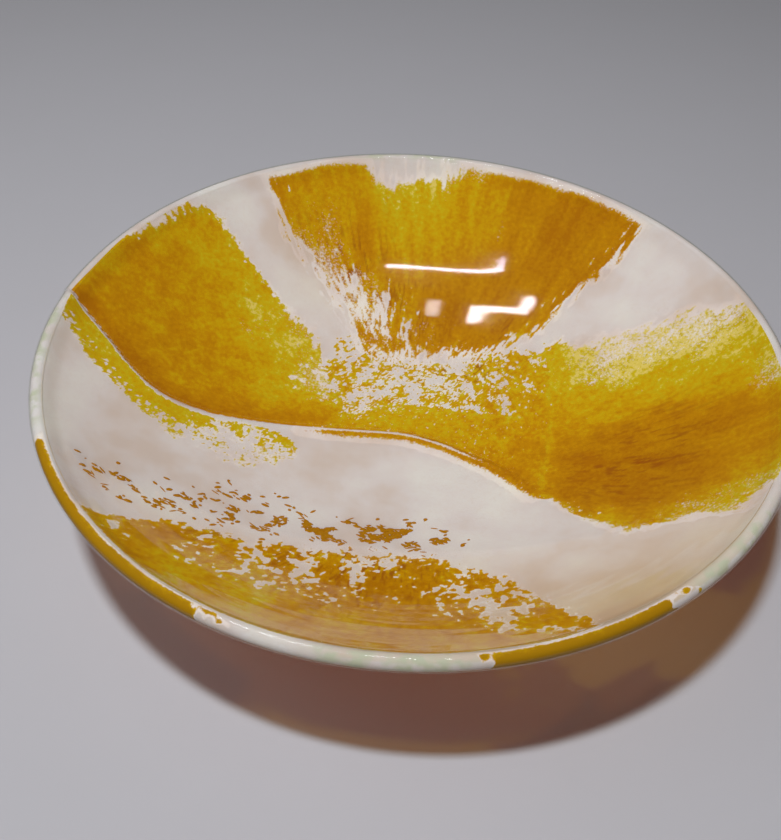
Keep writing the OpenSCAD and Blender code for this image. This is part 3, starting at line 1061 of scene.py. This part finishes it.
class BOWL_OT_inner_frit(bpy.types.Operator):
    """Makes the frit pickups on the inner face of the opal"""

    bl_idname = "bowl.inner_frit"
    bl_label = "Inner frit"

    def execute(self, context):
        wall, _, frit, glass, curve = settings()
        face = OpalFace(curve, wall)
        amber = frit_glass("amber_soda_lime_frit_melted", frit, glass, amber_stops(frit, 5))
        yellow = frit_glass("yellow_soda_lime_frit_melted", frit, glass, amber_stops(frit, 4))
        for name in INNER_FRIT:
            material = yellow if name == "yellow_fringe" else amber
            piece = frit_piece(name + "_frit", material, face,
                               partial(inner_field, name, face.top - BELOW_LIP),
                               partial(tone_field, name), partial(cover_field, name), BURN[name])
            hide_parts(name)
            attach(piece, "root")
        return {"FINISHED"}


# Where the pickups in the lip start and stop, in degrees round the bowl
LIP_SPANS = {"amber_lip_left": (204, 245), "amber_lip_front": (279, 306)}
# How far they reach in over the lip's top and down the outside, and their fullest depth
LIP_IN, LIP_DOWN, LIP_FULL = 1.5 * MM, 30 * MM, 6 * MM


def lip_field(name, top, x, y, run):
    """Depth of a lip pickup's frit. It starts over the lip's top and runs down the outside."""
    low, high = LIP_SPANS[name]
    turn = np.degrees(np.arctan2(y, x)) % 360
    across = ((high - low) / 2 - np.abs(turn - (low + high) / 2)) * math.pi / 180 * RIM_R
    ragged = 6 * MM * grains(x, y, 6 * MM, 6 * MM, low)
    ragged = ragged + 3 * MM * grains(x, y, 2.5 * MM, 2.5 * MM, low + 1)
    along = np.minimum(run - top + LIP_IN, LIP_DOWN - (run - top))
    return np.minimum(np.minimum(0.6 * across + ragged, along * 1.5), LIP_FULL)


def lip_tone(x, y):
    """Colour depth of the frit in the lip at plan points."""
    return 0.85 + 0.3 * grains(x, y, 12 * MM, 12 * MM, 5)


def lip_cover(x, y, depth):
    """How much of the opal the frit in the lip covers at plan points."""
    return smooth(depth / (2.5 * MM)) + 0.25 * grains(x, y, 4 * MM, 4 * MM, 6)


class BOWL_OT_lip_frit(bpy.types.Operator):
    """Makes the frit pickups on the outer face of the opal, which show in the lip"""

    bl_idname = "bowl.lip_frit"
    bl_label = "Lip frit"

    def execute(self, context):
        wall, _, frit, glass, curve = settings()
        face = OpalFace(curve, wall)
        amber = frit_glass("amber_soda_lime_frit_in_the_lip", frit, glass,
                           [(0.0, frit.film), (0.2, frit.yellow), (0.6, frit.in_lip)])
        for name in LIP_SPANS:
            piece = frit_piece(name + "_frit", amber, face, partial(lip_field, name, face.top),
                               lip_tone, lip_cover, ())
            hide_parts(name)
            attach(piece, "root")
        return {"FINISHED"}


# Steps of the lining's section over its inner face
LINING_STEPS = 156
# Lengths of the opal's swell, below the lip, from which the clear layers draw away from it
SWELL_ROOM = 1.1
# Thickness of the lining where it thins out over the swell
LINING_SKIN = 0.3 * MM


# Lengths of the lining's soft waves across and along the bowl, of how its rings wander, and from
# ring to ring at the back and at the front
SOFT_WAVES = (52 * MM, 40 * MM)
RING_WANDER = 34 * MM
BACK_RINGS, FRONT_RINGS = 19 * MM, 8 * MM


def ripples(x, y, wall):
    """Height of the lining's ripples at plan points: soft waves all over, and faint rings that
    are wide at the back and tight at the front. They die away before the lip."""
    reach = np.hypot(x, y) / RIM_R
    soft = wall.soft_ripple * noise(x / SOFT_WAVES[0], y / SOFT_WAVES[1], 5)
    wander = 1.2 * noise(x / RING_WANDER, y / RING_WANDER, 6)
    out = reach * 2 * math.pi * RIM_R
    back = wall.back_ripple * np.sin(out / BACK_RINGS + wander)
    back = back * smooth((reach - 0.35) / 0.2) * smooth(y / RIM_R / 0.3)
    front = wall.front_ripple * np.sin(out / FRONT_RINGS + wander)
    front = front * smooth((reach - 0.60) / 0.15) * smooth(-y / RIM_R / 0.5)
    return (soft + back + front) * (1 - smooth((reach - 0.9) / 0.08))


class BOWL_OT_clear_lining(bpy.types.Operator):
    """Makes the clear lining, with the fold and the soft ripples of hand-worked glass"""

    bl_idname = "bowl.clear_lining"
    bl_label = "Clear lining"

    def execute(self, context):
        wall, fold, _, glass, curve = settings()
        skin, under = curve.inside + LINING_SKIN, curve.opal_in - FUSED_GAP
        first, last = curve.lip - 0.1 * curve.swell, curve.lip - SWELL_ROOM * curve.swell
        section = joined(
            arc(curve, curve.inside, curve.inside, 0, curve.lip, LINING_STEPS),
            arc(curve, skin, skin, curve.lip, first, 2),
            arc(curve, skin, under, first, last, 8),
            arc(curve, under, under, last, 0, 26))
        points, groups = turned(section)
        rings = len(section) - 2
        on_top = np.repeat(np.arange(rings) < LINING_STEPS, SECTORS)
        on_top = np.concatenate([on_top, [True, False]])
        lift = np.where(on_top, ripples(points[:, 0], points[:, 1], wall), 0)
        from_centre = points - np.array([0, 0, curve.centre])
        points = points - from_centre / np.linalg.norm(from_centre, axis=1)[:, None] * lift[:, None]
        piece = new_piece("clear_lining_glass", shaped(points, wall, fold, curve), groups,
                          [clear_glass(glass), fused_face()])
        lay_materials(piece, np.where(np.arange(rings - 1) < LINING_STEPS, 0, 1))
        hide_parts("clear_lining")
        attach(piece, "root")
        return {"FINISHED"}


# How far the ground flat stops short of the curved wall, which leaves its edge eased
FOOT_EDGE = 0.8 * MM


class BOWL_OT_outer_gather(bpy.types.Operator):
    """Makes the clear outer gather, its rounded lip, ground foot and polished pontil"""

    bl_idname = "bowl.outer_gather"
    bl_label = "Outer gather"

    def execute(self, context):
        wall, fold, _, glass, curve = settings()
        lip_out = curve.point(curve.mid + curve.bead, curve.lip)
        foot = wall.foot / 2
        belly = Curve(wall)
        belly.centre = (lip_out @ lip_out - foot ** 2) / (2 * lip_out[1])
        belly_r = math.hypot(foot, belly.centre)
        hollow = wall.pontil / 2
        ball = (hollow ** 2 + wall.pontil_deep ** 2) / (2 * wall.pontil_deep)
        bowl_out = math.asin(lip_out[0] / belly_r)
        foot_angle = math.asin(foot / belly_r)
        ease = np.linspace(0, 1, 9)[:, None]
        flat = np.array([foot - FOOT_EDGE, 0]) * (1 - ease) + np.array([hollow, 0]) * ease
        dome = np.linspace(hollow, 0, 10)
        dome = np.stack([dome, np.sqrt(ball ** 2 - dome ** 2) - ball + wall.pontil_deep], 1)
        outside = arc(belly, belly_r, belly_r, bowl_out, foot_angle, 70)
        skin = joined(round_end(curve, curve.mid, wall.wall, curve.lip, 16), outside, flat, dome)
        bare = wall.lip_skin * 0.5
        over, last = curve.opal_out + FUSED_GAP, curve.lip - SWELL_ROOM * curve.swell
        fused = joined(
            arc(curve, over, over, 0, last, 40),
            arc(curve, over, curve.mid + curve.bead - bare, last, curve.lip, 12),
            round_end(curve, curve.mid, wall.wall - 2 * bare, curve.lip, 14)[::-1])
        section = joined(fused, skin)
        points, groups = turned(section)
        piece = new_piece("outer_gather_glass", shaped(points, wall, fold, curve, True), groups,
                          [clear_glass(glass), fused_face(), ground_glass()])
        on_table = section[1:-1, 1] < 0.01 * MM
        is_fused = np.arange(len(section) - 3) < len(fused) - 1
        lay_materials(piece, np.where(on_table[:-1] & on_table[1:], 2, is_fused.astype(int)))
        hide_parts("outer_gather")
        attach(piece, "root")
        return {"FINISHED"}


# Drifts of flecks: degrees round the bowl, then reach and spread in parts of the lip's radius,
# and a third of how many flecks are tried
DRIFTS = ((222, 0.56, 0.13, 130), (240, 0.44, 0.07, 90), (263, 0.38, 0.09, 140),
          (284, 0.41, 0.05, 30), (213, 0.80, 0.09, 60))
# Points of the opal's section from the middle of the bowl to the last that a fleck can lie on
FLECK_POINTS = INNER_STEPS + 4


class BOWL_OT_flecks(bpy.types.Operator):
    """Scatters the loose flecks of frit with geometry nodes"""

    bl_idname = "bowl.flecks"
    bl_label = "Loose flecks"

    def execute(self, context):
        wall, fold, frit, glass, curve = settings()
        face = OpalFace(curve, wall)
        rng = np.random.default_rng(8)
        strewn = []
        for turn, reach, spread, count in DRIFTS:
            middle = reach * np.array([math.cos(math.radians(turn)), math.sin(math.radians(turn))])
            strewn.append(middle + rng.normal(0, 0.5 * spread, (3 * count, 2)) * [1.3, 0.65])
        strewn = np.concatenate(strewn) * RIM_R
        clump = noise(strewn[:, 0] / (12 * MM), strewn[:, 1] / (7 * MM), 15)
        strewn = strewn[clump > 0.05]
        reach = np.hypot(strewn[:, 0], strewn[:, 1])
        run = np.interp(reach, face.section[:FLECK_POINTS, 0], face.run[:FLECK_POINTS])
        turn = np.arctan2(strewn[:, 1], strewn[:, 0])
        places = shaped(face.place(run, turn, 0.05 * MM), wall, fold, curve)
        seeds = new_piece("amber_flecks_frit", places, np.zeros((0, 3), int), [])
        amber = frit_glass("amber_soda_lime_frit_flecks", frit, glass, amber_stops(frit, 5))
        modifier = seeds.modifiers.new("flecks", "NODES")
        modifier.node_group = fleck_tree(amber)
        for item in modifier.node_group.interface.items_tree:
            if item.name == "Size":
                modifier[item.identifier] = frit.fleck
            if item.name == "Centre height":
                modifier[item.identifier] = curve.centre
        dg = context.evaluated_depsgraph_get()
        mesh = bpy.data.meshes.new_from_object(seeds.evaluated_get(dg), depsgraph=dg)
        seeds.modifiers.clear()
        seeds.data = mesh
        for value, amount in (("depth", 0.7), ("burn", 0.15), ("cover", 1.0)):
            give(seeds, value, np.full(len(mesh.vertices), amount))
        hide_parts("amber_flecks")
        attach(seeds, "root")
        return {"FINISHED"}


def fleck_tree(material):
    """Geometry nodes that put a flattened, knobbly grain on each point, facing the bowl's middle."""
    tree = bpy.data.node_groups.new("fleck_scatter", "GeometryNodeTree")
    for name, way, kind in (("Geometry", "INPUT", "Geometry"), ("Size", "INPUT", "Float"),
                            ("Centre height", "INPUT", "Float"), ("Geometry", "OUTPUT", "Geometry")):
        tree.interface.new_socket(name, in_out=way, socket_type="NodeSocket" + kind)
    given = add_node(tree, "NodeGroupInput")
    ball = add_node(tree, "GeometryNodeMeshIcoSphere", {"Radius": 1.0, "Subdivisions": 2})
    place = add_node(tree, "GeometryNodeInputPosition")
    rough = add_node(tree, "ShaderNodeTexNoise", {"Scale": 1.3, "Detail": 1.0},
                     [("Vector", place.outputs[0])])
    push = add_node(tree, "ShaderNodeVectorMath", {1: (0.5, 0.5, 0.5)},
                    [(0, rough.outputs["Color"])], operation="SUBTRACT")
    scaled = add_node(tree, "ShaderNodeVectorMath", {"Scale": 1.1}, [(0, push.outputs[0])],
                      operation="SCALE")
    knobbly = add_node(tree, "GeometryNodeSetPosition",
                       links=[("Geometry", ball.outputs["Mesh"]), ("Offset", scaled.outputs[0])])
    middle = add_node(tree, "ShaderNodeCombineXYZ", links=[("Z", given.outputs["Centre height"])])
    toward = add_node(tree, "ShaderNodeVectorMath", operation="SUBTRACT",
                      links=[(0, middle.outputs[0]), (1, place.outputs[0])])
    facing = add_node(tree, "FunctionNodeAlignRotationToVector", axis="Z",
                      links=[("Vector", toward.outputs[0])])
    spin = add_node(tree, "FunctionNodeRandomValue", {"Min": -0.9, "Max": 0.9, "Seed": 3},
                    data_type="FLOAT")
    spin_value = next(s for s in spin.outputs if s.enabled)
    twist = add_node(tree, "FunctionNodeAxisAngleToRotation", {"Axis": (0, 0, 1)},
                     [("Angle", spin_value)])
    turned = add_node(tree, "FunctionNodeRotateRotation", rotation_space="LOCAL",
                      links=[("Rotation", facing.outputs[0]), ("Rotate By", twist.outputs[0])])
    sides = {"Min": (0.4, 0.35, 0.10), "Max": (1.9, 1.0, 0.16), "Seed": 4}
    shape = add_node(tree, "FunctionNodeRandomValue", sides, data_type="FLOAT_VECTOR")
    shape_value = next(s for s in shape.outputs if s.enabled)
    sized = add_node(tree, "ShaderNodeVectorMath", operation="SCALE",
                     links=[(0, shape_value), ("Scale", given.outputs["Size"])])
    scattered = add_node(tree, "GeometryNodeInstanceOnPoints", links=[
        ("Points", given.outputs["Geometry"]), ("Instance", knobbly.outputs[0]),
        ("Rotation", turned.outputs[0]), ("Scale", sized.outputs[0])])
    real = add_node(tree, "GeometryNodeRealizeInstances", links=[("Geometry", scattered.outputs[0])])
    smoothed = add_node(tree, "GeometryNodeSetShadeSmooth", links=[("Geometry", real.outputs[0])])
    coloured = add_node(tree, "GeometryNodeSetMaterial", {"Material": material},
                        [("Geometry", smoothed.outputs[0])])
    add_node(tree, "NodeGroupOutput", links=[("Geometry", coloured.outputs[0])])
    return tree


TABLE_HALF = 4.0
ROOM_LIGHT = 0.06
LAMP_COLOUR = "F7F9FF"
# Name, sides in metres, watts and place of each lamp
LIGHTING_LAMPS = (("key_lamp", (0.13, 0.07), 18.0, (-0.19, -0.34, 1.45)),
                  ("fill_lamp", (0.8, 0.8), 2.0, (-1.1, -0.1, 1.1)))
GLOSS_LAMPS = (("shine_tube", (0.50, 0.022), 1.2, (-0.10, 0.06, 1.45)),
               ("shine_patch", (0.25, 0.05), 1.3, (-0.32, 0.32, 1.45)),
               ("shine_spot", (0.05, 0.03), 0.06, (-0.05, 0.27, 1.45)))
# The camera: focal length in millimetres, degrees down from level and of lean to the side, and
# its place from the middle of the lip's plane in parts of the lip's radius
LENS = 42.86
PITCH, LEAN_OVER = 44.2, 2.59
EYE = (-0.0575, -2.062, 1.6995)


class BOWL_OT_stage(bpy.types.Operator):
    """Makes the pale table, the lights and the camera"""

    bl_idname = "bowl.stage"
    bl_label = "Stage"

    def execute(self, context):
        far = TABLE_HALF
        table = new_piece("table", [(-far, -far, 0), (far, -far, 0), (far, far, 0), (-far, far, 0)],
                          np.array([[0, 1, 2, 3]]), [painted("painted_board_pale", "BCBABC")])
        for lamp in LIGHTING_LAMPS:
            self.hang(context, *lamp, gloss=False)
        for lamp in GLOSS_LAMPS:
            self.hang(context, *lamp, diffuse=False)
        world = bpy.data.worlds.new("soft_room")
        world.use_nodes = True
        world.node_tree.nodes["Background"].inputs["Color"].default_value = linear("FFFFFF")
        world.node_tree.nodes["Background"].inputs["Strength"].default_value = ROOM_LIGHT
        context.scene.world = world
        context.scene.cycles.transparent_max_bounces = 16
        context.scene.view_settings.view_transform = "Standard"
        self.aim(context)
        return {"FINISHED"}

    def hang(self, context, name, sides, watts, place, diffuse=True, gloss=True):
        """Hangs a rectangular lamp that shines on the bowl. One kind only lights it and the
        other only shows in its gloss, as a lamp and the bright patch beside it would."""
        lamp = bpy.data.lights.new(name, "AREA")
        lamp.shape = "RECTANGLE"
        lamp.size, lamp.size_y = sides
        lamp.energy = watts
        lamp.color = linear(LAMP_COLOUR)[:3]
        holder = bpy.data.objects.new(name, lamp)
        context.scene.collection.objects.link(holder)
        back = np.array(place) / np.linalg.norm(place)
        across = np.cross([0, 1, 0], back)
        across /= np.linalg.norm(across)
        holder.matrix_world = placed(across, np.cross(back, across), back, place)
        holder.visible_glossy = gloss
        holder.visible_diffuse = diffuse
        holder.visible_transmission = diffuse

    def aim(self, context):
        """Puts the camera in front of the bowl and above it, leaning a little to one side."""
        lens = bpy.data.cameras.new("camera")
        lens.lens = LENS
        lens.clip_start = 0.01
        camera = bpy.data.objects.new("camera", lens)
        context.scene.collection.objects.link(camera)
        context.scene.camera = camera
        pitch, roll = math.radians(PITCH), math.radians(LEAN_OVER)
        forward = np.array([0, math.cos(pitch), -math.sin(pitch)])
        right = np.array([1.0, 0, 0])
        up = np.cross(right, forward)
        x_axis = right * math.cos(roll) + up * math.sin(roll)
        y_axis = up * math.cos(roll) - right * math.sin(roll)
        eye = np.array(EYE) * RIM_R + [0, 0, RIM_H]
        camera.matrix_world = placed(x_axis, y_axis, -forward, eye)


def placed(x_axis, y_axis, z_axis, place):
    """The matrix that turns an object to these axes and puts it at this place."""
    matrix = Matrix.Identity(4)
    for column, axis in enumerate((x_axis, y_axis, z_axis, place)):
        for row in range(3):
            matrix[row][column] = axis[row]
    return matrix


class BOWL_PT_panel(bpy.types.Panel):
    """Buttons that make the bowl, in order"""

    bl_label = "Glass bowl"
    bl_idname = "BOWL_PT_panel"
    bl_space_type = "VIEW_3D"
    bl_region_type = "UI"
    bl_category = "Glass bowl"

    def draw(self, context):
        """Lists the settings and the buttons."""
        for name, group in GROUPS:
            box = self.layout.box()
            for prop in group.__annotations__:
                box.prop(getattr(context.scene, name), prop)
        for operator in OPERATORS:
            self.layout.operator(operator.bl_idname)


OPERATORS = (BOWL_OT_stage, BOWL_OT_opal_core, BOWL_OT_inner_frit, BOWL_OT_lip_frit, BOWL_OT_flecks,
             BOWL_OT_clear_lining, BOWL_OT_outer_gather)


def register():
    for name, group in GROUPS:
        bpy.utils.register_class(group)
        setattr(bpy.types.Scene, name, bpy.props.PointerProperty(type=group))
    for cls in OPERATORS + (BOWL_PT_panel,):
        bpy.utils.register_class(cls)


def unregister():
    for cls in reversed(OPERATORS + (BOWL_PT_panel,)):
        bpy.utils.unregister_class(cls)
    for name, group in reversed(GROUPS):
        delattr(bpy.types.Scene, name)
        bpy.utils.unregister_class(group)


def main():
    register()
    for operator in OPERATORS:
        family, action = operator.bl_idname.split(".")
        getattr(getattr(bpy.ops, family), action)()


if __name__ == "__main__":
    main()
